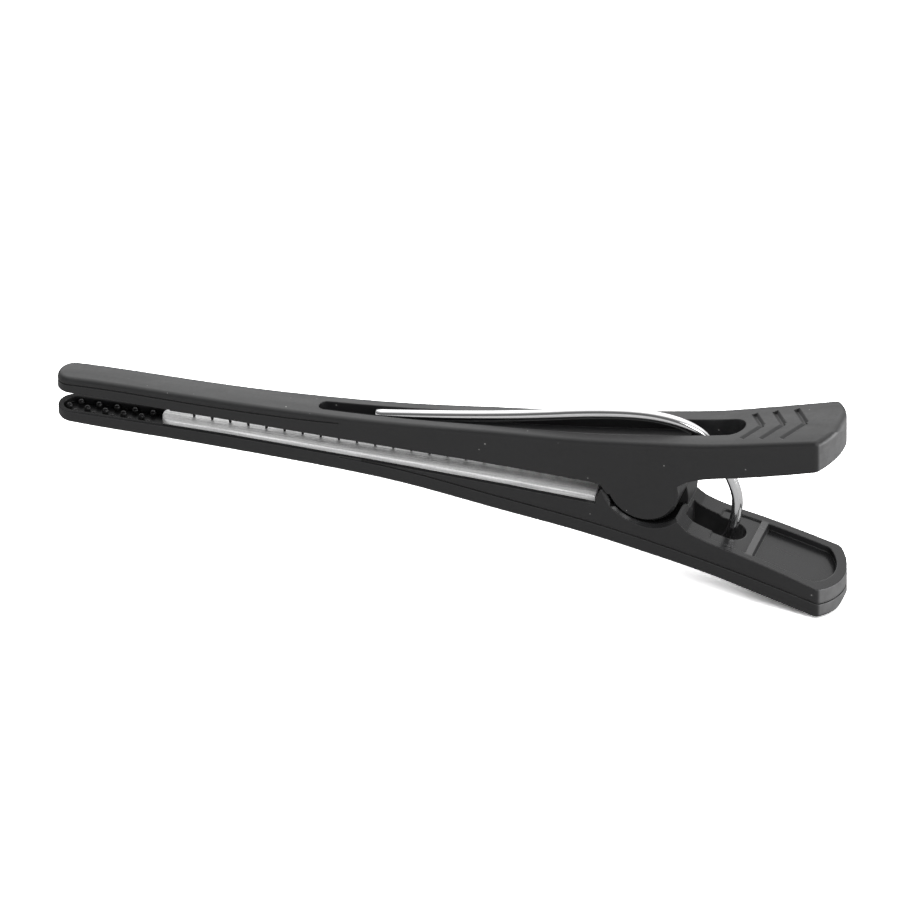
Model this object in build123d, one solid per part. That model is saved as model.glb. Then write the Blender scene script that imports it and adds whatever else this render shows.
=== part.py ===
from build123d import *
import math
import os

# Sectioning clip: two moulded arms that rock on each other's half-round lobes,
# a bent wire spring and a pressed metal strip set into the lower jaw.
# The parts are drawn with the rocking axis at the origin, then moved along X so
# that the origin is the middle of the whole clip. +X towards the finger end,
# +Y along the axis, +Z up. Millimetres.
# Both arms are drawn as upper arms; the lower one is then turned over about X.

# ---- plan of an arm ------------------------------------------------------
TIP_X = -85.5                    # tip of the jaws
END_X = 27.75                    # middle of the rounded finger end
FRAME_X = -(TIP_X + END_X) / 2   # the rocking axis sits this far along +X from the middle
TIP_R = 2.25                     # corner radius of the tip
END_CORNER_R = 0.9               # corner radius of the finger end
# (x, half width)
PLAN = [(TIP_X, 2.42), (-78.0, 2.45), (-60.0, 2.58), (-40.0, 3.04), (-20.0, 3.72),
        (0.0, 4.65), (13.0, 5.25), (25.5, 5.85)]

# ---- side view of an arm -------------------------------------------------
# outer profiles, (x, distance from the middle plane); the last run is the straight finger pad
UPPER_OUTER = [(-85.5, 3.35), (-82.0, 3.50), (-70.0, 3.60), (-60.0, 3.66), (-49.7, 3.98),
               (-34.0, 5.00), (-21.4, 6.34), (-8.5, 7.68), (1.8, 9.22), (12.6, 11.20),
               (30.0, 15.48)]
LOWER_OUTER = [(-85.5, 3.72), (-82.0, 3.88), (-70.0, 4.01), (-60.0, 4.10), (-49.7, 4.24),
               (-34.0, 4.88), (-21.4, 6.27), (-8.5, 7.60), (1.8, 9.17), (12.6, 11.28),
               (30.0, 15.55)]
TIP_SLOPE = 0.06                 # slope of the outer profile at the tip

# jaw rims, (x, distance from the middle plane), from the rocking axis past the tip
UPPER_RIM = [(0.0, 1.22), (-8.6, 1.22), (-21.6, 1.22), (-34.5, 1.06), (-45.0, 0.95),
             (-55.0, 0.92), (-65.0, 0.97), (-75.0, 1.08), (-88.0, 1.20)]
LOWER_RIM = [(0.0, 2.25), (-8.6, 2.20), (-21.6, 2.08), (-34.5, 2.00), (-45.0, 1.94),
             (-55.0, 1.87), (-65.0, 1.84), (-75.0, 1.92), (-88.0, 2.02)]
# inner face of the finger end, (x, z), and the point that joins it to the rim
INNER = [(6.6, 4.05), (10.0, 5.30), (13.5, 6.15), (18.0, 7.35), (30.5, 11.35)]
INNER_JOIN = (4.6, 2.6)

EDGE_R = 0.70                    # rounded outer edge
EDGE_FIND = 0.25                 # an edge this close to the outer profile is an outer edge
EDGE_MIN = 0.5                   # shorter edges are left alone
END_R = 1.2                      # rounding of the finger end's outer corner, seen from the side
END_CLEAR = 0.02                 # that rounding starts this far beyond the end

LINE_D, LINE_W = 0.16, 0.26      # parting line: depth and width
# (x, distance in from the outer profile)
UPPER_LINE = [(-86.0, 0.95), (-60.0, 1.05), (-44.0, 0.95)]
LOWER_LINE = [(-44.0, 2.40), (-8.5, 2.40), (30.0, 2.40)]

# ---- lobe on -Y and seat on +Y -------------------------------------------
LOBE_R = 5.36                    # half-round lobe
LOBE_Z = 1.70                    # its centre above the rocking axis
LOBE_Y = 4.86                    # it reaches this far out in Y, before trimming to the plan
LOBE_GAP = 0.12                  # the lobes stop this far short of the middle in Y
LOBE_TOP = 4.5                   # top of the lobe's solid
LOBE_EDGE = 0.45                 # chamfer round the lobe's outer edge
LOBE_EDGE_Z = -0.2               # only below this height
LOBE_CORE_Y = 3.4                # and only beyond this distance from the middle in Y
# fillers from the lobe into the jaw rim and the finger end, (x, z)
JAW_WEB = [(-6.6, 1.50), (-5.1, -0.05), (-3.0, -0.05), (-3.0, LOBE_TOP), (-6.6, LOBE_TOP)]
JAW_WEB_LIFT = 0.5               # its first corner is this far above the rim
JAW_WEB_HOLLOW = (-6.62, 0.14, 1.09)     # x, z and radius of the hollow cut from it
FINGER_WEB = [(3.0, 0.4), (5.05, 1.2), (5.15, 2.4), (5.4, 3.5), (6.3, 4.6), (6.3, 6.0),
              (3.0, 6.0)]

SEAT_R = LOBE_R + 0.19           # half-round seat, clear of the other arm's lobe
SEAT_LIP = 0.45                  # chamfer round the seat's outer edge
SWING = 30.0                     # opening angle, degrees
# ears beside the seat, on its jaw side and its finger side, (x, z)
JAW_EAR = [(-6.66, 4.0), (-6.66, 1.45), (-5.95, -0.28), (-5.60, -0.28), (-5.25, 0.15),
           (-4.6, 0.15), (-4.6, 4.0)]
FINGER_EAR = [(3.4, 6.5), (3.4, 2.45), (4.80, 2.42), (5.25, 2.72), (5.75, 3.15), (6.2, 3.62),
              (6.6, 4.0), (6.6, 6.5)]

# ---- jaw channel ---------------------------------------------------------
UPPER_CHAN_Z, LOWER_CHAN_Z = 2.00, 2.70  # floors of the jaw channels
TIP_CHAN_Z = 2.85                # the lower jaw's channel is deeper ahead of the strip
CHAN_WALL = 0.68                 # width of the rims beside the channel
CHAN_X0, CHAN_X1 = -84.8, -6.9
CHAN_END_R = 2.2

# ---- trough and slot for the wire ----------------------------------------
SLOT_X0, SLOT_X1 = 5.6, 13.6     # through slot
SLOT_HW = 2.10                   # its half width
SLOT_END_R = SLOT_HW - 0.05
TROUGH_TIP_R = 1.0               # rounded start of the trough
TROUGH_PLAN = [(-47.7, 1.05), (-30.0, 1.55), (-8.0, SLOT_HW), (SLOT_X1, SLOT_HW)]  # (x, half width)
# depth of the trough below the outer profile, (x, depth)
UPPER_TROUGH = [(-85.5, 1.30), (-49.7, 1.30), (-34.0, 1.75), (-21.4, 1.65), (-8.5, 1.60),
                (12.6, 1.70), (30.0, 1.70)]
LOWER_TROUGH = [(-85.5, 0.92), (-49.7, 0.92), (-34.0, 1.30), (-8.5, 1.45), (12.6, 1.60),
                (30.0, 1.60)]

# ---- recess inside the finger end ----------------------------------------
RECESS_D, STEP_D = 1.0, 0.22     # depth on the +X side of the rib, and of the step on its -X side
RECESS_X0, RECESS_X1 = 9.4, 24.3
RECESS_RIM = 1.25                # rim left beside the recess
RECESS_HW0, RECESS_HW1 = 5.12 - RECESS_RIM, 5.75 - RECESS_RIM    # half widths at its two ends
RECESS_END_RIM = 1.35            # rim left at the middle of the finger end
RECESS_R0, RECESS_R1 = 0.5, 1.2  # corner radii at its two ends
RIB_X, RIB_W = 15.2, 0.95        # cross rib: middle and width

# ---- chevron grooves in the finger pad -----------------------------------
CHEVRONS = [(16.0, 3.25), (19.05, 3.6), (22.2, 3.85)]    # (x of the point, half length in Y)
CHEV_BACK = 0.62                 # sweep of a limb towards -X, per unit of Y
CHEV_W, CHEV_D = 0.95, 0.34      # V groove: width and depth
CHEV_RISE = 0.4                  # the cutter stands this far above the pad

# ---- bumps and teeth -----------------------------------------------------
BUMP_PITCH, BUMP_ROW = 2.62, 1.28        # spacing along X, and of the rows in Y
BUMP_R = 0.46
UPPER_BUMP_UP, LOWER_BUMP_UP = 0.06, 0.32    # bump centres proud of the channel floor
BUMP_END = 0.75                  # space from the bumps to the channel end and to the strip
TOOTH_Z, TOOTH_SIDE = 0.30, 1.0  # underside of the upper jaw's tooth bar, and its outer rows
BAR_END = 1.5                    # the bar stops this far inside the strip and channel ends
BAR_EXTRA_W = 1.3                # its width beyond the outer rows
SINK = 0.2                       # overlap of bar and teeth with what carries them
TOOTH_X0, TOOTH_X1 = 3.2, 2.4    # teeth start and stop this far inside the same ends
SIDE_TOOTH_R, SIDE_TOOTH_H = 0.42, 0.30
MID_TOOTH_R = 0.40
TOOTH_TAPER = 0.42               # tip radius over base radius
TOOTH_CLEAR = 0.05               # middle teeth stop this far above the strip

# ---- strip and wire ------------------------------------------------------
STRIP_X0, STRIP_X1 = -70.4, -6.95
STRIP_T = 0.45                   # sheet thickness
STRIP_TOP = [(STRIP_X0, -1.22), (STRIP_X1, -1.12)]   # top of its crown, (x, z)
STRIP_CROWN_R = 20.0
STRIP_END_R, STRIP_HOLLOW_R = 2.42, 2.0  # end corner radii, outside and inside
STRIP_EDGE_R = 0.2
FIT = 0.03                       # side clearance of the strip in its channel
STRIP_LIFT = 0.005               # the strip stands this far off the channel floor

WIRE_R = 0.78
# centre line of the wire, (x, z): upper leg, bend, lower leg
WIRE = [(-39.4, 3.92), (-27.8, 5.76), (-15.0, 8.22), (-9.9, 9.34), (-4.8, 10.24),
        (0.3, 10.68), (3.0, 10.50), (5.6, 9.86), (8.1, 8.42),
        (10.2, 5.55), (11.6, 2.49), (12.38, -0.2), (12.35, -2.3), (11.95, -4.5), (10.70, -7.35),
        (8.8, -9.20), (6.2, -10.08), (3.0, -10.32), (-1.0, -10.10), (-6.0, -9.25),
        (-15.0, -7.62), (-27.8, -5.56), (-39.4, -4.34)]

# ---- reach of blocks and cutters, well past the arm ----------------------
CUT_Y, LONG_CUT_Y = 8.0, 9.0
BLOCK_Z = (-10, 30)
CUT_Z = (-5, 25)
CHAN_CUT_Z = -2
NEAR = 0.01                      # tolerance for picking corners by their X


# ---- helpers -------------------------------------------------------------
def interp(table, x):
    """Straight-line value of a table at x, held level beyond its ends."""
    if x <= table[0][0]:
        return table[0][1]
    for (xa, va), (xb, vb) in zip(table[:-1], table[1:]):
        if xa <= x <= xb:
            return va + (vb - va) * (x - xa) / (xb - xa)
    return table[-1][1]


def pad_slope(profile):
    (xa, za), (xb, zb) = profile[-2:]
    return (zb - za) / (xb - xa)


def prism(face, z0, z1):
    """Plan face as a solid between z0 and z1."""
    return extrude(Pos(0, 0, z0) * face, amount=z1 - z0)


def across(sketch, half=CUT_Y):
    """Side-view sketch (x, z) as a solid, half to each side of the middle in Y."""
    return Rot(90, 0, 0) * extrude(sketch, amount=half, both=True)


def slab(outline, y0, y1):
    """Straight-sided XZ polygon as a solid between y0 and y1."""
    wire = Wire.make_polygon([Vector(x, y0, z) for x, z in outline], close=True)
    return Solid.extrude(Face(wire), Vector(0, y1 - y0, 0))


def cyl_y(x, z, r, y0, y1):
    return Pos(x, (y0 + y1) / 2, z) * Rot(90, 0, 0) * Cylinder(r, abs(y1 - y0))


def pitched(x, limit):
    """Places along X at the bump pitch, short of the limit."""
    while x < limit:
        yield x
        x += BUMP_PITCH


# the side wall's angle to X beside the rocking axis, degrees
SIDE_TILT = math.degrees(math.atan((interp(PLAN, 5.0) - interp(PLAN, -5.0)) / 10.0))


# ---- plan faces ----------------------------------------------------------
def plan_face(inset=0.0):
    """Plan outline of an arm, or the same drawn in by an inset."""
    x_tip, x_end = TIP_X + inset, END_X - inset
    x_side = PLAN[-1][0] - inset
    halves = [(x, half - inset) for x, half in PLAN]
    halves[0] = (x_tip, halves[0][1])
    halves[-1] = (x_side, halves[-1][1])
    tip_half, end_half = halves[0][1], halves[-1][1]
    with BuildSketch() as s:
        with BuildLine():
            Spline(*halves)
            Spline(*[(x, -half) for x, half in halves])
            Line((x_tip, tip_half), (x_tip, -tip_half))
            ThreePointArc((x_side, end_half), (x_end, 0.0), (x_side, -end_half))
        make_face()
        fillet([v for v in s.vertices() if v.X < x_tip + NEAR], radius=TIP_R - inset)
        fillet([v for v in s.vertices() if v.X > x_side - NEAR], radius=END_CORNER_R)
    return s.sketch


def mirrored_face(halves, tip_r=None, end_r=None):
    """Straight-sided face from (x, half width), its -X and +X corners rounded if asked."""
    with BuildSketch() as s:
        with BuildLine():
            Polyline(*(halves + [(x, -half) for x, half in reversed(halves)]), close=True)
        make_face()
        if tip_r:
            fillet([v for v in s.vertices() if v.X < halves[0][0] + NEAR], radius=tip_r)
        if end_r:
            fillet([v for v in s.vertices() if v.X > halves[-1][0] - NEAR], radius=end_r)
    return s.sketch


def channel_face(x0, x1, wall, tip_r):
    """Face that keeps a wall's width inside the arm's plan, rounded at x0."""
    xs = [x0] + [x for x, _ in PLAN if x0 < x < x1] + [x1]
    halves = [(x, interp(PLAN, x) - wall) for x in xs]
    return mirrored_face(halves, tip_r=min(tip_r, halves[0][1] - 0.02))


def recess_face():
    with BuildSketch() as s:
        with BuildLine():
            Line((RECESS_X0, RECESS_HW0), (RECESS_X1, RECESS_HW1))
            ThreePointArc((RECESS_X1, RECESS_HW1), (END_X - RECESS_END_RIM, 0),
                          (RECESS_X1, -RECESS_HW1))
            Line((RECESS_X1, -RECESS_HW1), (RECESS_X0, -RECESS_HW0))
            Line((RECESS_X0, -RECESS_HW0), (RECESS_X0, RECESS_HW0))
        make_face()
        fillet([v for v in s.vertices() if v.X > RECESS_X1 - NEAR], radius=RECESS_R1)
        fillet([v for v in s.vertices() if v.X < RECESS_X0 + NEAR], radius=RECESS_R0)
    return s.sketch


# ---- side-view solids ----------------------------------------------------
def profile_lines(profile):
    """Adds a smooth profile that runs into the straight pad to the open BuildLine."""
    Spline(*profile[:-1], tangents=[(1.0, TIP_SLOPE), (1.0, pad_slope(profile))])
    Line(profile[-2], profile[-1])


def profile_solid(outer, rim):
    """Everything between the outer profile and the jaw rim / finger inner face, full width."""
    with BuildSketch() as s:
        with BuildLine():
            profile_lines(outer)
            Polyline(outer[-1], (INNER[-1][0], outer[-1][1]), INNER[-1])
            Spline(*reversed(INNER))
            Polyline(INNER[0], INNER_JOIN, rim[0])
            Spline(*rim)
            Polyline(rim[-1], (rim[-1][0], outer[0][1]), outer[0])
        make_face()
    return across(s.sketch)


def above_trough_floor(outer, depths):
    """Everything above a floor that follows the outer profile at the trough's depth."""
    floor = [(x, z - interp(depths, x)) for x, z in outer]
    x_end, top = floor[-1][0], floor[-1][1] + 30.0
    with BuildSketch() as s:
        with BuildLine():
            profile_lines(floor)
            Polyline(floor[-1], (x_end, top), (floor[0][0], top), floor[0])
        make_face()
    return across(s.sketch)


def line_band(outer, table):
    """Thin slab that follows the outer profile at the parting line's distance."""
    x0, x1 = table[0][0], table[-1][0]
    xs = [x0] + [x for x, _ in outer if x0 < x < x1] + [x1]
    middle = [(x, interp(outer, x) - interp(table, x)) for x in xs]
    above = [(x, z + LINE_W / 2) for x, z in middle]
    below = [(x, z - LINE_W / 2) for x, z in reversed(middle)]
    with BuildSketch() as s:
        with BuildLine():
            Spline(*above)
            Line(above[-1], below[0])
            Spline(*below)
            Line(below[-1], above[0])
        make_face()
    return across(s.sketch)


def below_inner(depth):
    """Everything below a surface at a depth behind the finger end's inner face."""
    roof = [(x, z + depth) for x, z in INNER]
    bottom = -6
    with BuildSketch() as s:
        with BuildLine():
            Spline(*roof)
            Polyline(roof[-1], (roof[-1][0], bottom), (roof[0][0], bottom), roof[0])
        make_face()
    return across(s.sketch)


def end_corner(outer):
    """What comes off the outer corner of the finger end to round it, seen from the side."""
    pad_angle = math.atan(pad_slope(outer))
    x = END_X + END_CLEAR
    z = interp(outer, x)
    setback = END_R / math.tan((math.pi / 2 - pad_angle) / 2)
    on_pad = (x - setback * math.cos(pad_angle), z - setback * math.sin(pad_angle))
    on_end = (x, z - setback)
    centre = (x - END_R, z - setback)
    scale = END_R / math.hypot(x - centre[0], z - centre[1])
    mid_arc = (centre[0] + scale * (x - centre[0]), centre[1] + scale * (z - centre[1]))
    over = 4
    with BuildSketch() as s:
        with BuildLine():
            ThreePointArc(on_pad, mid_arc, on_end)
            Polyline(on_end, (x + over, on_end[1]), (x + over, z + over),
                     (on_pad[0], z + over), on_pad)
        make_face()
    return across(s.sketch, LONG_CUT_Y)


# ---- features of an arm --------------------------------------------------
def outer_edges(arm, outer):
    edges = []
    for e in arm.edges():
        p = e @ 0.5
        if e.length > EDGE_MIN and p.Z > 0 and abs(p.Z - interp(outer, p.X)) < EDGE_FIND:
            edges.append(e)
    return edges


def make_lobe(rim):
    """Half-round lobe on the -Y side, with the webs that carry it."""
    def below(z, reach=9):
        return slab([(-reach, z), (reach, z), (reach, -reach), (-reach, -reach)], -CUT_Y, CUT_Y)

    lobe = cyl_y(0, LOBE_Z, LOBE_R, -LOBE_Y, -LOBE_GAP) & below(LOBE_TOP)
    # cone that leaves the chamfer, square to the side wall
    inward, outward = 2.0, 1.0
    face_r = LOBE_R - LOBE_EDGE
    edge = Pos(0, -interp(PLAN, 0.0), LOBE_Z) * Rot(0, 0, -SIDE_TILT) * Rot(90, 0, 0) * \
        Pos(0, 0, -inward) * Cone(face_r + inward, face_r - outward, inward + outward,
                                  align=(Align.CENTER, Align.CENTER, Align.MIN))
    core = cyl_y(0, LOBE_Z, 9.0, -LOBE_CORE_Y, 0.0)
    low = below(LOBE_EDGE_Z)
    lobe = (lobe - low) + (lobe & low & (edge + core))

    jaw_outline = [(JAW_WEB[0][0], rim[0][1] + JAW_WEB_LIFT)] + JAW_WEB
    jaw_web = slab(jaw_outline, -LOBE_Y, -LOBE_GAP) - cyl_y(*JAW_WEB_HOLLOW, -CUT_Y, CUT_Y)
    finger_web = slab(FINGER_WEB, -LOBE_Y, -LOBE_GAP)
    return lobe + jaw_web + finger_web


def cut_seat(arm):
    """Seat on the +Y side, swept from the other lobe's closed place to its open one."""
    shift = LOBE_Z * math.sin(math.radians(SWING))
    drop = LOBE_Z * (1 - math.cos(math.radians(SWING)))
    y0, y1, bottom = -LOBE_GAP, LONG_CUT_Y, -8
    seat = cyl_y(0, -LOBE_Z, SEAT_R, y0, y1)
    seat = seat + cyl_y(shift, -LOBE_Z + drop, SEAT_R, y0, y1)
    seat = seat + slab([(0, SEAT_R - LOBE_Z), (shift, SEAT_R - LOBE_Z + drop),
                        (shift, bottom), (0, bottom)], y0, y1)
    arm = arm - seat
    for x, z in ((0.0, -LOBE_Z), (shift, -LOBE_Z + drop)):
        lip = Pos(x, interp(PLAN, x), z) * Rot(0, 0, SIDE_TILT) * Rot(-90, 0, 0) * \
            Cone(SEAT_R + SEAT_LIP - 1.0, SEAT_R + SEAT_LIP + 1.0, 2.0)
        arm = arm - lip
    return arm


def cut_recess(arm):
    """Recess inside the finger end: deep on the +X side of its rib, a shallow step on the other."""
    plan = prism(recess_face(), *CUT_Z)
    length = 40
    for depth, side in ((RECESS_D, 1), (STEP_D, -1)):
        part = Pos(RIB_X + side * (RIB_W + length) / 2, 0, 0) * Box(length, 20, 60)
        arm = arm - (plan & below_inner(depth) & part)
    return arm


def chevron_limb(outer, x, side):
    """One V groove across the finger pad, from its point at x to y = side."""
    slope = pad_slope(outer)
    back = abs(side) * CHEV_BACK
    along = Vector(-back, side, -back * slope)
    direction = along.normalized()
    normal = Vector(-slope, 0, 1).normalized()
    sideways = direction.cross(normal).normalized()
    point = Vector(x, 0, interp(outer, x))
    rise = normal * CHEV_RISE
    half = CHEV_W / 2 * (1 + CHEV_RISE / CHEV_D)
    section = Face(Wire.make_polygon([point + rise + sideways * half,
                                      point + rise - sideways * half,
                                      point - normal * CHEV_D], close=True))
    return Solid.extrude(section, direction * along.length)


def tip_bumps(z):
    """Gripping bumps at the tip, three staggered rows centred at height z."""
    bumps = []
    for y in (-BUMP_ROW, 0.0, BUMP_ROW):
        stagger = 0.0 if y == 0.0 else BUMP_PITCH / 2
        for x in pitched(CHAN_X0 + BUMP_END + stagger, STRIP_X0 - BUMP_END):
            bumps.append(Pos(x, y, z) * Sphere(BUMP_R))
    return bumps


def tooth_bar(chan_z):
    """Bar along the upper jaw's channel, above the strip."""
    x0, x1 = STRIP_X0 + BAR_END, CHAN_X1 - BAR_END
    top = chan_z + SINK
    return Pos((x0 + x1) / 2, 0, (TOOTH_Z + top) / 2) * \
        Box(x1 - x0, 2 * TOOTH_SIDE + BAR_EXTRA_W, top - TOOTH_Z)


def tooth(x, y, r, height):
    """A small cone on the bar's underside, pointing down."""
    return Pos(x, y, TOOTH_Z - height / 2 + SINK / 2) * Rot(180, 0, 0) * \
        Cone(r, r * TOOTH_TAPER, height + SINK)


def bar_teeth():
    """Pairs of short side teeth, with a long middle tooth between one pair and the next."""
    teeth = []
    limit = CHAN_X1 - TOOTH_X1
    for x in pitched(STRIP_X0 + TOOTH_X0, limit):
        for y in (-TOOTH_SIDE, TOOTH_SIDE):
            teeth.append(tooth(x, y, SIDE_TOOTH_R, SIDE_TOOTH_H))
        x_mid = x + BUMP_PITCH / 2
        if x_mid < limit:
            height = TOOTH_Z - interp(STRIP_TOP, x_mid) - TOOTH_CLEAR
            teeth.append(tooth(x_mid, 0.0, MID_TOOTH_R, height))
    return teeth


# ---- the pieces ----------------------------------------------------------
def make_arm(outer, rim, chan_z, trough_depths, line_table, holds_strip):
    block = prism(plan_face(), *BLOCK_Z)
    arm = profile_solid(outer, rim) & block
    arm = fillet(outer_edges(arm, outer), EDGE_R)
    arm = arm - end_corner(outer)

    # fine parting line round the side walls
    ring = block - prism(plan_face(LINE_D), *BLOCK_Z)
    arm = arm - (ring & line_band(outer, line_table))

    arm = arm + (make_lobe(rim) & block)
    ears = slab(JAW_EAR, LOBE_GAP, CUT_Y) + slab(FINGER_EAR, LOBE_GAP, CUT_Y)
    arm = arm + (ears & block)
    arm = cut_seat(arm)

    # jaw channel, deeper ahead of the strip
    arm = arm - prism(channel_face(CHAN_X0, CHAN_X1, CHAN_WALL, CHAN_END_R), CHAN_CUT_Z, chan_z)
    if holds_strip:
        tip = channel_face(CHAN_X0, STRIP_X0 - 0.05, CHAN_WALL, CHAN_END_R)
        arm = arm - prism(tip, CHAN_CUT_Z, TIP_CHAN_Z)

    # trough for the wire, and the through slot at its finger end
    trough = prism(mirrored_face(TROUGH_PLAN, TROUGH_TIP_R, SLOT_END_R), *CUT_Z)
    arm = arm - (trough & above_trough_floor(outer, trough_depths))
    slot = mirrored_face([(SLOT_X0, SLOT_HW), (SLOT_X1, SLOT_HW)], end_r=SLOT_END_R)
    arm = arm - prism(slot, *CUT_Z)

    arm = cut_recess(arm)
    for x, half in CHEVRONS:
        for side in (half, -half):
            arm = arm - chevron_limb(outer, x, side)

    if holds_strip:
        return arm + tip_bumps(TIP_CHAN_Z - LOWER_BUMP_UP)
    arm = arm + tooth_bar(chan_z)
    return arm + (tip_bumps(chan_z - UPPER_BUMP_UP) + bar_teeth())


def make_strip():
    """Crowned strip, hollow underneath."""
    wall = CHAN_WALL + FIT
    plan = channel_face(STRIP_X0, STRIP_X1, wall, STRIP_END_R)
    hollow_plan = channel_face(STRIP_X0 + STRIP_T, STRIP_X1 - STRIP_T, wall + STRIP_T,
                               STRIP_HOLLOW_R)
    z_low = -LOWER_CHAN_Z + STRIP_LIFT
    z_high = z_low + 6
    x_mid = (STRIP_X0 + STRIP_X1) / 2
    dip = -math.degrees(math.atan(pad_slope(STRIP_TOP)))
    place = Pos(x_mid, 0, interp(STRIP_TOP, x_mid)) * Rot(0, dip, 0) * \
        Pos(0, 0, -STRIP_CROWN_R) * Rot(0, 90, 0)
    crown = place * Cylinder(STRIP_CROWN_R, 80)
    crown_inside = place * Cylinder(STRIP_CROWN_R - STRIP_T, 80)
    strip = prism(plan, z_low, z_high) & crown
    # round the edges that don't touch the bottom
    edges = [e for e in strip.edges() if all((e @ t).Z > z_low + 0.03 for t in (0.0, 0.5, 1.0))]
    strip = fillet(edges, STRIP_EDGE_R)
    return strip - (prism(hollow_plan, z_low - 1, z_high) & crown_inside)


def make_wire():
    path = Edge.make_spline([Vector(x, 0, z) for x, z in WIRE])
    with BuildSketch(Plane(origin=path @ 0, z_dir=path % 0)) as section:
        Circle(WIRE_R)
    return sweep(section.sketch, path=Wire([path]))


os.makedirs("parts", exist_ok=True)
parts = {
    "upper_arm": make_arm(UPPER_OUTER, UPPER_RIM, UPPER_CHAN_Z, UPPER_TROUGH, UPPER_LINE,
                          holds_strip=False),
    "lower_arm": Rot(180, 0, 0) * make_arm(LOWER_OUTER, LOWER_RIM, LOWER_CHAN_Z, LOWER_TROUGH,
                                           LOWER_LINE, holds_strip=True),
    "jaw_strip": make_strip(),
    "wire_spring": make_wire(),
}
for name, shape in parts.items():
    export_step(Pos(FRAME_X, 0, 0) * shape, f"parts/{name}.step")
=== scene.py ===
"""A spring clip: two black plastic arms, a metal strip in the jaws and a bent wire spring.

It lies along X, with the jaws towards -X and the finger ends towards +X. The upper arm is
at +Z, the front faces -Y, and the arms rock about an axis along Y at x = PIVOT_X.
"""
import bpy
import bmesh
import math
import numpy as np
from mathutils import Matrix, Vector


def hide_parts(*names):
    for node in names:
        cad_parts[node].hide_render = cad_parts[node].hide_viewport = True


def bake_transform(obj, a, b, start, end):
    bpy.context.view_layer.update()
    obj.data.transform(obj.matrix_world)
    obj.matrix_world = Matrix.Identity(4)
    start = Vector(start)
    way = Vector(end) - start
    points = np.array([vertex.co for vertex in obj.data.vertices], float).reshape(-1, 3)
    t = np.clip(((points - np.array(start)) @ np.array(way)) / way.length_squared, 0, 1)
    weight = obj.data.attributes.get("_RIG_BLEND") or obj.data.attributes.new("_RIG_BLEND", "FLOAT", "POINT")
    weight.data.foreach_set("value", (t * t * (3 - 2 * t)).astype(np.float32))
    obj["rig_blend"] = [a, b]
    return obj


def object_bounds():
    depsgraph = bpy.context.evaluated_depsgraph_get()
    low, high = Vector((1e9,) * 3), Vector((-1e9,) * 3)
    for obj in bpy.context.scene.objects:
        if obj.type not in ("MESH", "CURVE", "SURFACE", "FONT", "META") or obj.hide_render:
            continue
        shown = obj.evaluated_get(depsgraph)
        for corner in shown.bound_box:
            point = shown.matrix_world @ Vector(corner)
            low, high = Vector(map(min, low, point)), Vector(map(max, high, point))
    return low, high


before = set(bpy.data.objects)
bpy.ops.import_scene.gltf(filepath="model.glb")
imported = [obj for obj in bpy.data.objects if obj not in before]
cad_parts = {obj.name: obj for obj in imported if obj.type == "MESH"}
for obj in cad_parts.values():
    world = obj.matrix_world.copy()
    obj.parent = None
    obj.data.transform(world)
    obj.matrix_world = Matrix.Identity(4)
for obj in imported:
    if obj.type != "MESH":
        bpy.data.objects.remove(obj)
cad_low, cad_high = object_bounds()
cad_centre = (cad_low + cad_high) / 2

MM = 0.001
PIVOT_X = 28.875         # rocking axis, mm
scene = bpy.context.scene
scene.view_settings.view_transform = "Standard"
scene.view_settings.look = "None"


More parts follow.
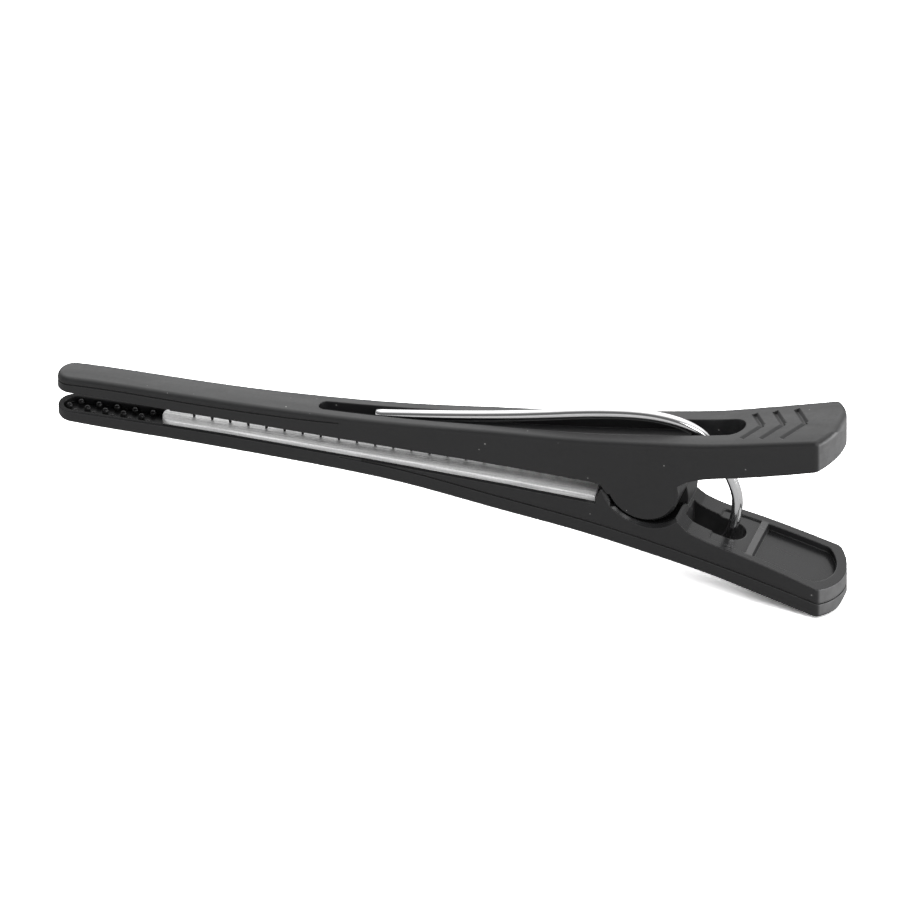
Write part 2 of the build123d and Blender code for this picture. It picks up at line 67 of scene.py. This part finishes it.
# ---------------------------------------------------------------- shader building
class Shader:
    """The node tree of a material or world, with short ways to add nodes."""

    def __init__(self, owner):
        owner.use_nodes = True
        self.tree = owner.node_tree
        self.tree.nodes.clear()

    def put(self, socket, value):
        """Link a socket or set a constant; colours are given without alpha."""
        if isinstance(value, bpy.types.NodeSocket):
            self.tree.links.new(value, socket)
        elif socket.type == "RGBA":
            socket.default_value = (*value, 1.0)
        else:
            socket.default_value = value

    def node(self, kind, inputs=None, **settings):
        node = self.tree.nodes.new(kind)
        for name, value in settings.items():
            setattr(node, name, value)
        for key, value in (inputs or {}).items():
            self.put(node.inputs[key], value)
        return node

    def coordinates(self):
        return self.node("ShaderNodeTexCoord").outputs

    def xyz(self, vector):
        return self.node("ShaderNodeSeparateXYZ", {0: vector}).outputs

    def math(self, operation, first, second=0.0):
        inputs = {0: first, 1: second}
        return self.node("ShaderNodeMath", inputs, operation=operation).outputs[0]

    def add(self, first, second):
        return self.math("ADD", first, second)

    def multiply(self, product, *factors):
        for factor in factors:
            product = self.math("MULTIPLY", product, factor)
        return product

    def distance(self, value, centre):
        return self.math("ABSOLUTE", self.math("SUBTRACT", value, centre))

    def vector(self, operation, *vectors):
        inputs = dict(enumerate(vectors))
        outputs = self.node("ShaderNodeVectorMath", inputs, operation=operation).outputs
        return outputs["Value" if operation == "DOT_PRODUCT" else "Vector"]

    def step(self, value, start, end, low=0.0, high=1.0):
        """Smooth change from low at start to high at end."""
        inputs = {"Value": value, "From Min": start, "From Max": end,
                  "To Min": low, "To Max": high}
        node = self.node("ShaderNodeMapRange", inputs, interpolation_type="SMOOTHSTEP")
        return node.outputs["Result"]

    def noise(self, vector, scale, detail=3.0, roughness=0.55, distortion=0.0, stretch=None):
        """Noise; stretch multiplies the coordinates, so a small value draws it out."""
        if stretch:
            vector = self.vector("MULTIPLY", vector, stretch)
        inputs = {"Vector": vector, "Scale": scale, "Detail": detail,
                  "Roughness": roughness, "Distortion": distortion}
        return self.node("ShaderNodeTexNoise", inputs).outputs["Fac"]

    def mix_colour(self, mask, off, on):
        inputs = {0: mask, 6: off, 7: on}
        return self.node("ShaderNodeMix", inputs, data_type="RGBA").outputs[2]

    def mix_value(self, mask, off, on):
        inputs = {0: mask, 2: off, 3: on}
        return self.node("ShaderNodeMix", inputs, data_type="FLOAT").outputs[0]

    def tint(self, base, mask, strength, colour):
        """Lay a colour over the base where the mask is on."""
        return self.mix_colour(self.multiply(mask, strength), off=base, on=colour)

    def bump(self, height, distance, strength, normal=None):
        inputs = {"Strength": strength, "Distance": distance, "Height": height}
        if normal is not None:
            inputs["Normal"] = normal
        return self.node("ShaderNodeBump", inputs).outputs["Normal"]

    def rounded_edges(self, radius, full_wear_and_highlight):
        """Bevelled normal, and a mask of where it leaves the true normal.

        full_wear_and_highlight is the dot product of the two at which the mask is fully on.
        """
        rounded = self.node("ShaderNodeBevel", {"Radius": radius}, samples=6).outputs[0]
        true = self.node("ShaderNodeNewGeometry").outputs["Normal"]
        agreement = self.vector("DOT_PRODUCT", rounded, true)
        return rounded, self.step(agreement, start=0.995, end=full_wear_and_highlight)

    def principled(self, inputs):
        self.finish(self.node("ShaderNodeBsdfPrincipled", inputs).outputs[0])

    def finish(self, shader, kind="ShaderNodeOutputMaterial"):
        self.node(kind, {0: shader})


def new_material(name):
    material = bpy.data.materials.new(name)
    return material, Shader(material)


def grey(level):
    return (level, level, level)


# ---------------------------------------------------------------- materials
def dust_specks(shader, place):
    """Mask of sparse round specks: some Voronoi cells, each with its own radius."""
    cells = shader.node("ShaderNodeTexVoronoi", {"Vector": place, "Scale": 600.0},
                        feature="F1").outputs
    chance = shader.node("ShaderNodeTexWhiteNoise", {"Vector": cells["Position"]},
                         noise_dimensions="3D").outputs["Value"]
    chosen = shader.math("GREATER_THAN", chance, 0.62)      # share of cells left clean
    # the radius grows with how far the cell's value is above an offset
    radius = shader.multiply(shader.math("SUBTRACT", chance, 0.55), 0.22)
    spot = shader.step(shader.math("DIVIDE", cells["Distance"], radius), start=1.0, end=0.55)
    return shader.multiply(spot, chosen)


def black_plastic(name, inward):
    """Satin black plastic. inward: -1.0 if the arm's inner faces look down, +1.0 if up."""
    material, shader = new_material(name)
    step, multiply, tint = shader.step, shader.multiply, shader.tint
    coordinates = shader.coordinates()
    place = coordinates["Object"]
    x, y = shader.xyz(place)[:2]
    normal = shader.xyz(coordinates["Normal"])
    facing_in = multiply(normal["Z"], inward)
    inner = step(facing_in, start=0.12, end=0.40)
    outer = step(multiply(normal["Z"], -inward), start=0.75, end=0.93)
    rounded, edge = shader.rounded_edges(radius=0.26 * MM, full_wear_and_highlight=0.86)

    mottle = shader.noise(place, scale=180.0, detail=4.0, roughness=0.6)
    fine = shader.noise(place, scale=5200.0, detail=2.0, roughness=0.6)
    grain = shader.noise(place, scale=2100.0)
    smear = shader.noise(place, scale=420.0, roughness=0.6, distortion=0.4,
                         stretch=(0.25, 1.0, 1.0))
    dust = dust_specks(shader, place)

    # painted highlight: the rib across the inside of the finger end is painted paler where it catches the
    # light
    rib_highlight = multiply(inner,
                   step(shader.distance(x, 44.08 * MM), start=0.62 * MM, end=0.46 * MM),
                   step(shader.math("ABSOLUTE", y), start=4.6 * MM, end=4.0 * MM))
    # painted highlight: the blunt finger ends, which face the light from the right, are painted paler than
    # the walls, in patches
    patches = shader.noise(place, scale=900.0, detail=4.0, roughness=0.65)
    painted_end_highlight = multiply(step(normal["X"], start=0.42, end=0.90),
                     step(x, start=50 * MM, end=54 * MM),
                     shader.mix_value(patches, off=0.55, on=1.35))

    base = shader.mix_colour(mottle, off=(0.0080, 0.0080, 0.0084), on=(0.0120, 0.0120, 0.0125))
    base = tint(base, mask=inner, strength=0.55, colour=(0.0080, 0.0080, 0.0085))
    # edges lighter: partly real wear, partly a painted edge highlight
    base = tint(base, mask=edge, strength=0.30, colour=grey(0.060))
    # painted highlight on the rib
    base = tint(base, mask=rib_highlight, strength=0.5, colour=grey(0.105))
    # painted highlight on the finger ends
    base = tint(base, mask=painted_end_highlight, strength=0.75, colour=(0.120, 0.120, 0.121))
    base = tint(base, mask=dust, strength=0.45, colour=(0.40, 0.40, 0.39))

    # roughness: grain and smears outside, glossier inside and on edges, dull dust
    roughness = shader.mix_value(grain, off=0.40, on=0.52)
    smear_change = multiply(shader.math("SUBTRACT", smear, 0.5), 0.22)
    roughness = shader.add(roughness, smear_change)
    inner_roughness = shader.mix_value(smear, off=0.20, on=0.32)
    roughness = shader.mix_value(inner, off=roughness, on=inner_roughness)
    roughness = shader.mix_value(multiply(edge, 0.6), off=roughness, on=0.30)
    roughness = shader.mix_value(dust, off=roughness, on=0.9)

    # relief: a moulded grain, fainter inside, with dust standing on it, then broad waves
    relief = shader.add(multiply(fine, 0.55), multiply(grain, 0.45))
    relief = multiply(relief, shader.mix_value(inner, off=1.0, on=0.25))
    relief = shader.add(relief, multiply(dust, 3.0))
    surface = shader.bump(relief, distance=0.010 * MM, strength=0.55, normal=rounded)
    waves = shader.noise(place, scale=260.0, detail=2.0, roughness=0.5)
    surface = shader.bump(waves, distance=0.035 * MM, strength=0.35, normal=surface)
    # the outer faces are very slightly crowned from side to side: lean per metre of y
    lean = multiply(y, 34.0, outer)
    crown = shader.node("ShaderNodeCombineXYZ", {"Y": lean}).outputs[0]
    surface = shader.vector("NORMALIZE", shader.vector("ADD", surface, crown))

    # painted shade: recesses go darker and lose their shine
    occlusion = shader.node("ShaderNodeAmbientOcclusion", {"Distance": 0.55 * MM}, samples=5)
    openness = step(occlusion.outputs["AO"], start=0.22, end=0.72, low=0.12)
    base = shader.mix_colour(openness, off=(0.0030, 0.0030, 0.0031), on=base)
    # the flat floor inside the jaws is duller than the points that stand on it
    jaw_floor = multiply(step(facing_in, start=0.965, end=0.992),
                         step(x, start=21.5 * MM, end=20.5 * MM))
    outer_specular = shader.mix_value(outer, off=0.50, on=0.62)
    specular = shader.mix_value(inner, off=outer_specular, on=0.31)
    floor_shine = shader.math("SUBTRACT", 1.0, multiply(jaw_floor, 0.88))
    specular = multiply(specular, floor_shine, openness)
    shader.principled({"Base Color": base, "Roughness": roughness, "IOR": 1.50,
                       "Specular IOR Level": specular, "Normal": surface})
    return material


def strip_metal(name):
    """Satin metal, brushed along X."""
    material, shader = new_material(name)
    place = shader.coordinates()["Object"]
    fine_lines = shader.noise(place, scale=5200.0, detail=4.0, roughness=0.65,
                              stretch=(0.016, 1.0, 1.0))
    broad_lines = shader.noise(place, scale=2300.0, roughness=0.6, stretch=(0.045, 1.0, 1.0))
    grit = shader.noise(place, scale=3600.0, roughness=0.65)
    smudge = shader.noise(place, scale=160.0, roughness=0.6)
    # shares of the two line patterns and the grit, then more contrast
    tone = shader.add(shader.multiply(fine_lines, 0.5), shader.multiply(broad_lines, 0.3))
    tone = shader.add(tone, shader.multiply(grit, 0.2))
    tone = shader.step(tone, start=0.32, end=0.68)
    rounded, edge = shader.rounded_edges(radius=0.12 * MM, full_wear_and_highlight=0.85)

    base = shader.mix_colour(tone, off=(0.50, 0.50, 0.505), on=(0.97, 0.97, 0.965))
    base = shader.tint(base, mask=smudge, strength=0.15, colour=grey(0.60))
    # edges brighter: partly real wear, partly a painted edge highlight
    base = shader.tint(base, mask=edge, strength=0.6, colour=grey(0.95))
    # smudges are rougher, edges glossier
    roughness = shader.mix_value(tone, off=0.48, on=0.38)
    roughness = shader.add(roughness, shader.multiply(smudge, 0.08))
    roughness = shader.mix_value(shader.multiply(edge, 0.7), off=roughness, on=0.30)
    relief = shader.add(tone, shader.multiply(grit, 0.8))
    surface = shader.bump(relief, distance=0.010 * MM, strength=0.6, normal=rounded)
    tangent = shader.node("ShaderNodeVectorTransform", {0: (1.0, 0.0, 0.0)},
                          vector_type="VECTOR", convert_from="OBJECT", convert_to="WORLD")
    shader.principled({"Metallic": 0.35, "Base Color": base, "Roughness": roughness,
                       "Anisotropic": 0.6, "Tangent": tangent.outputs[0], "Normal": surface})
    return material


def spring_wire(name):
    """Bright drawn wire: die lines along its length, from the UVs (u along, v round)."""
    material, shader = new_material(name)
    coordinates = shader.coordinates()
    broad_lines = shader.noise(coordinates["UV"], scale=1.0, detail=4.0, roughness=0.7,
                               stretch=(2.2, 60.0, 1.0))
    fine_lines = shader.noise(coordinates["UV"], scale=1.0, roughness=0.6,
                              stretch=(9.0, 150.0, 1.0))
    pits = shader.noise(coordinates["Object"], scale=2600.0, roughness=0.6)
    # shares of the two line patterns, then more contrast
    tone = shader.add(shader.multiply(broad_lines, 0.6), shader.multiply(fine_lines, 0.4))
    tone = shader.step(tone, start=0.32, end=0.68)
    base = shader.mix_colour(tone, off=(0.66, 0.66, 0.67), on=grey(0.90))
    pit_mask = shader.step(pits, start=0.66, end=0.76, high=0.5)
    base = shader.mix_colour(pit_mask, off=base, on=grey(0.35))
    shader.principled({"Metallic": 1.0, "Base Color": base,
                       "Roughness": shader.mix_value(tone, off=0.17, on=0.10),
                       "Normal": shader.bump(tone, distance=0.0015 * MM, strength=0.30)})
    return material


def floor_paint(name):
    """Pale paint, white to the camera and clear from below."""
    material, shader = new_material(name)
    mottle = shader.noise(shader.coordinates()["Object"], scale=30.0, roughness=0.5)
    paint = shader.mix_colour(mottle, off=grey(0.34), on=grey(0.36))
    to_camera = shader.node("ShaderNodeLightPath").outputs["Is Camera Ray"]
    paint = shader.mix_colour(to_camera, off=paint, on=grey(2.0))
    above = shader.node("ShaderNodeBsdfDiffuse", {"Color": paint}).outputs[0]
    below = shader.node("ShaderNodeBsdfTransparent").outputs[0]
    backfacing = shader.node("ShaderNodeNewGeometry").outputs["Backfacing"]
    mixed = shader.node("ShaderNodeMixShader", {0: backfacing, 1: above, 2: below})
    shader.finish(mixed.outputs[0])
    return material


# ---------------------------------------------------------------- the arms and the strip
def dress(piece, material):
    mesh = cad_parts[piece].data
    mesh.materials.clear()
    mesh.materials.append(material)
    for polygon in mesh.polygons:
        polygon.material_index = 0


dress("upper_arm", black_plastic("upper_plastic", inward=-1.0))
dress("lower_arm", black_plastic("lower_plastic", inward=1.0))
dress("jaw_strip", strip_metal("brushed_strip"))

# ---------------------------------------------------------------- the wire spring
WIRE_RADIUS = 0.78       # mm
WIRE_SIDES = 28
RINGS_PER_MM = 2.2
SPLINE_SAMPLES = 4000
END_BEVEL = 0.10         # length of the broken edge at each cut end, mm
END_SCALE = 0.86         # radius of the cut face over the wire's
U_PER_MM = 0.1
BEND_ANGLE = 62.0        # the bend flexes this far either side of +X, degrees
# centre line: x from the rocking axis and z, mm; upper leg, bend, lower leg
WIRE_LINE = [
    (-39.4, 3.92), (-27.8, 5.76), (-15.0, 8.22), (-9.9, 9.34), (-4.8, 10.24), (0.3, 10.68),
    (3.0, 10.50), (5.6, 9.86), (8.1, 8.42), (10.2, 5.55), (11.6, 2.49), (12.38, -0.2),
    (12.35, -2.3), (11.95, -4.5), (10.70, -7.35), (8.8, -9.20), (6.2, -10.08), (3.0, -10.32),
    (-1.0, -10.10), (-6.0, -9.25), (-15.0, -7.62), (-27.8, -5.56), (-39.4, -4.34),
]


def lengths_along(points):
    steps = np.linalg.norm(np.diff(points, axis=0), axis=1)
    return np.concatenate([[0], np.cumsum(steps)])


def natural_spline(points):
    """Cubic spline through the points, with no curvature at its ends."""
    knots = lengths_along(points)
    count = len(knots)
    spans = np.diff(knots)
    system = np.zeros((count, count))
    target = np.zeros((count, 2))
    system[0, 0] = system[-1, -1] = 1.0
    for i in range(1, count - 1):
        before, after = spans[i - 1], spans[i]
        system[i, i - 1:i + 2] = before, 2 * (before + after), after
        target[i] = 6 * ((points[i + 1] - points[i]) / after
                         - (points[i] - points[i - 1]) / before)
    second = np.linalg.solve(system, target)      # second derivatives at the knots
    samples = np.linspace(0, knots[-1], SPLINE_SAMPLES)
    k = np.clip(np.searchsorted(knots, samples) - 1, 0, count - 2)
    span = spans[k][:, None]
    done = (samples - knots[k])[:, None]
    left = span - done
    return ((second[k] * left ** 3 + second[k + 1] * done ** 3) / (6 * span)
            + (points[k] / span - second[k] * span / 6) * left
            + (points[k + 1] / span - second[k + 1] * span / 6) * done)


def even_path(points):
    """Evenly spaced points on the spline, and their lengths along it."""
    curve = natural_spline(np.array(points, float))
    lengths = lengths_along(curve)
    even = np.linspace(0, lengths[-1], int(lengths[-1] * RINGS_PER_MM))
    return np.stack([np.interp(even, lengths, curve[:, i]) for i in (0, 1)], 1), even


def build_wire():
    path, lengths = even_path(WIRE_LINE)
    tangents = np.gradient(path, axis=0)
    tangents /= np.linalg.norm(tangents, axis=1)[:, None]
    last = len(path) - 1
    # path point, shift along the wire in mm, radius scale; the cut ends have a broken edge
    stations = [(0, 0.0, END_SCALE), (0, END_BEVEL, 1.0)]
    stations += [(i, 0.0, 1.0) for i in range(2, last - 1)]
    stations += [(last, -END_BEVEL, 1.0), (last, 0.0, END_SCALE)]

    bm = bmesh.new()
    uv_layer = bm.loops.layers.uv.new("UVMap")
    rings = []
    for i, shift, scale in stations:
        tangent_x, tangent_z = tangents[i]
        centre_x, centre_z = path[i] + tangents[i] * shift + np.array([PIVOT_X, 0.0])
        radius = WIRE_RADIUS * scale
        ring = []
        for k in range(WIRE_SIDES):
            angle = 2 * math.pi * k / WIRE_SIDES
            across = radius * math.cos(angle)
            x = centre_x - tangent_z * across
            z = centre_z + tangent_x * across
            ring.append(bm.verts.new((x * MM, radius * math.sin(angle) * MM, z * MM)))
        rings.append((ring, (lengths[i] + shift) * U_PER_MM))
    for (ring, u), (next_ring, next_u) in zip(rings, rings[1:]):
        for k in range(WIRE_SIDES):
            j = (k + 1) % WIRE_SIDES
            face = bm.faces.new((ring[k], next_ring[k], next_ring[j], ring[j]))
            face.smooth = True
            corners = ((u, k), (next_u, k), (next_u, k + 1), (u, k + 1))
            for loop, (corner_u, side) in zip(face.loops, corners):
                loop[uv_layer].uv = (corner_u, side / WIRE_SIDES)
    for cap in (rings[0][0], rings[-1][0][::-1]):
        bm.faces.new(cap).smooth = False
    bmesh.ops.recalc_face_normals(bm, faces=bm.faces)
    mesh = bpy.data.meshes.new("spring_wire_bent")
    bm.to_mesh(mesh)
    bm.free()
    wire = bpy.data.objects.new("spring_wire_bent", mesh)
    scene.collection.objects.link(wire)
    mesh.materials.append(spring_wire("bright_wire"))
    return wire


def blend_round_bend(wire):
    """Only the bend flexes: the weight follows the angle round the rocking axis."""
    places = np.array([vertex.co for vertex in wire.data.vertices], float)
    angles = np.degrees(np.arctan2(places[:, 2], places[:, 0] - PIVOT_X * MM))
    weights = np.clip((angles + BEND_ANGLE) / (2 * BEND_ANGLE), 0, 1)
    weights = weights * weights * (3 - 2 * weights)
    attribute = wire.data.attributes["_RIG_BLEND"]
    attribute.data.foreach_set("value", weights.astype(np.float32))


wire = build_wire()
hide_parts("wire_spring")
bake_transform(wire, "lower", "upper", start=(0.041, 0, -0.009), end=(0.041, 0, 0.009))
blend_round_bend(wire)

# ---------------------------------------------------------------- stage
FLOOR_HALF = 3.0         # m
FLOOR_GAP = 0.0002       # below the lowest point, m


def build_floor():
    mesh = bpy.data.meshes.new("floor")
    corners = [(x * FLOOR_HALF, y * FLOOR_HALF, 0)
               for x, y in ((-1, -1), (1, -1), (1, 1), (-1, 1))]
    mesh.from_pydata(corners, [], [(0, 1, 2, 3)])
    floor = bpy.data.objects.new("floor", mesh)
    scene.collection.objects.link(floor)
    floor.location = (0, 0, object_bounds()[0].z - FLOOR_GAP)
    mesh.materials.append(floor_paint("floor_paint"))


def build_world():
    """White to the camera; reflections see a bright tent above and behind, dark in front."""
    world = bpy.data.worlds.new("world")
    scene.world = world
    shader = Shader(world)
    direction = shader.coordinates()["Generated"]
    towards_tent = shader.vector("DOT_PRODUCT", direction, (-0.10, 0.565, 0.819))
    tent = shader.step(towards_tent, start=0.42, end=1.0, low=0.15, high=1.75)
    # the pale sweep carries on a little way up from the floor all round
    sweep = shader.step(shader.xyz(direction)["Z"], start=0.20, end=0.46, low=0.75, high=0.0)
    to_camera = shader.node("ShaderNodeLightPath").outputs["Is Camera Ray"]
    light = shader.mix_value(to_camera, off=shader.math("MAXIMUM", tent, sweep), on=1.0)
    background = shader.node("ShaderNodeBackground", {"Color": grey(1.0), "Strength": light})
    shader.finish(background.outputs[0], "ShaderNodeOutputWorld")


# name, azimuth (0 = front, 90 = finger end) and elevation in degrees,
# distance, width and height in m, radiance
LIGHTS = [
    ("front_key", 4.0, 56.0, 1.1, 1.4, 0.45, 4.4),
    ("front_spark", 40.0, 50.0, 1.0, 0.50, 0.30, 5.0),
    ("back_left", 206.0, 27.0, 1.2, 1.1, 0.40, 0.9),
    ("right_low", 96.0, 8.0, 1.0, 1.2, 0.26, 9.0),
    ("front_right", 52.0, 25.0, 1.0, 0.26, 0.26, 8.0),
]


def direction_to(azimuth, elevation):
    """Unit vector from the clip, for angles in degrees."""
    around, rise = math.radians(azimuth), math.radians(elevation)
    return Vector((math.sin(around) * math.cos(rise), -math.cos(around) * math.cos(rise),
                   math.sin(rise)))


def soft_box(name, azimuth, elevation, distance, width, height, radiance):
    outward = direction_to(azimuth, elevation)
    light = bpy.data.lights.new(name, "AREA")
    light.shape = "RECTANGLE"
    light.size = width
    light.size_y = height
    light.energy = radiance * math.pi * width * height
    box = bpy.data.objects.new(name, light)
    scene.collection.objects.link(box)
    box.location = cad_centre + outward * distance
    box.rotation_mode = "QUATERNION"
    box.rotation_quaternion = (-outward).to_track_quat("-Z", "Y")
    box.visible_glossy = name != "front_key"      # the key stays out of reflections


build_floor()
build_world()
for light_row in LIGHTS:
    soft_box(*light_row)

# ---------------------------------------------------------------- camera
CAMERA_AZIMUTH = 17.3    # degrees, as for the lights
CAMERA_ELEVATION = 32.9
CAMERA_ROLL = 0.68
CAMERA_DISTANCE = 3.0    # m
LENS = 870.0             # mm


def build_camera():
    azimuth, roll = math.radians(CAMERA_AZIMUTH), math.radians(CAMERA_ROLL)
    back = direction_to(CAMERA_AZIMUTH, CAMERA_ELEVATION)
    level_right = Vector((math.cos(azimuth), math.sin(azimuth), 0.0))
    level_up = back.cross(level_right)
    right = level_right * math.cos(roll) - level_up * math.sin(roll)
    up = level_up * math.cos(roll) + level_right * math.sin(roll)
    lens = bpy.data.cameras.new("camera")
    camera = bpy.data.objects.new("camera", lens)
    scene.collection.objects.link(camera)
    camera.location = cad_centre + back * CAMERA_DISTANCE
    camera.rotation_mode = "QUATERNION"
    camera.rotation_quaternion = Matrix((right, up, back)).transposed().to_quaternion()
    lens.sensor_width = 36.0
    lens.lens = LENS
    lens.clip_start = 0.01
    lens.clip_end = 20.0
    scene.camera = camera


build_camera()
